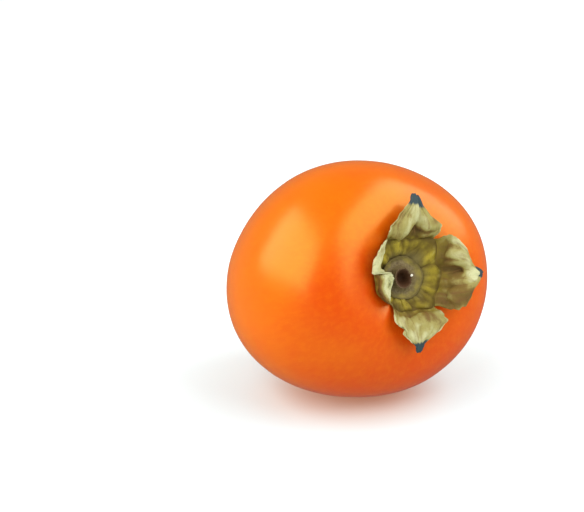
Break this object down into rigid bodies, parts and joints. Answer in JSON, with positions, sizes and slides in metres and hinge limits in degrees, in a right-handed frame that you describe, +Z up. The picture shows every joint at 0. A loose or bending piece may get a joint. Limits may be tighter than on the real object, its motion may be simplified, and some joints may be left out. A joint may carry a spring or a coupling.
{
  "type": "persimmon",
  "caption": "Ripe persimmon lying on its side, broad at the calyx end, with a papery four-lobed calyx round a woody stem stub and a small dry style point at the other end",
  "frame": {"origin": "centre of the small flat spot on the fruit's side that it rests on", "axes": "+Z up, -Y the way the calyx faces (18 degrees above the horizontal), +X across the fruit, its wider way"},
  "size_m": [0.0787, 0.0771, 0.0694],
  "materials": {
    "skin": "smooth waxy orange skin, satin gloss, slightly translucent",
    "calyx": "dry papery olive to cream, wrinkled, blackened tips",
    "stem": "rough grey-brown bark, dark dry pith",
    "style": "dry dark brown"
  },
  "bodies": {
    "root": {"fruit": "skin", "calyx": "calyx", "stem_stub": "stem", "style_remnant": "style"}
  },
  "joints": []
}
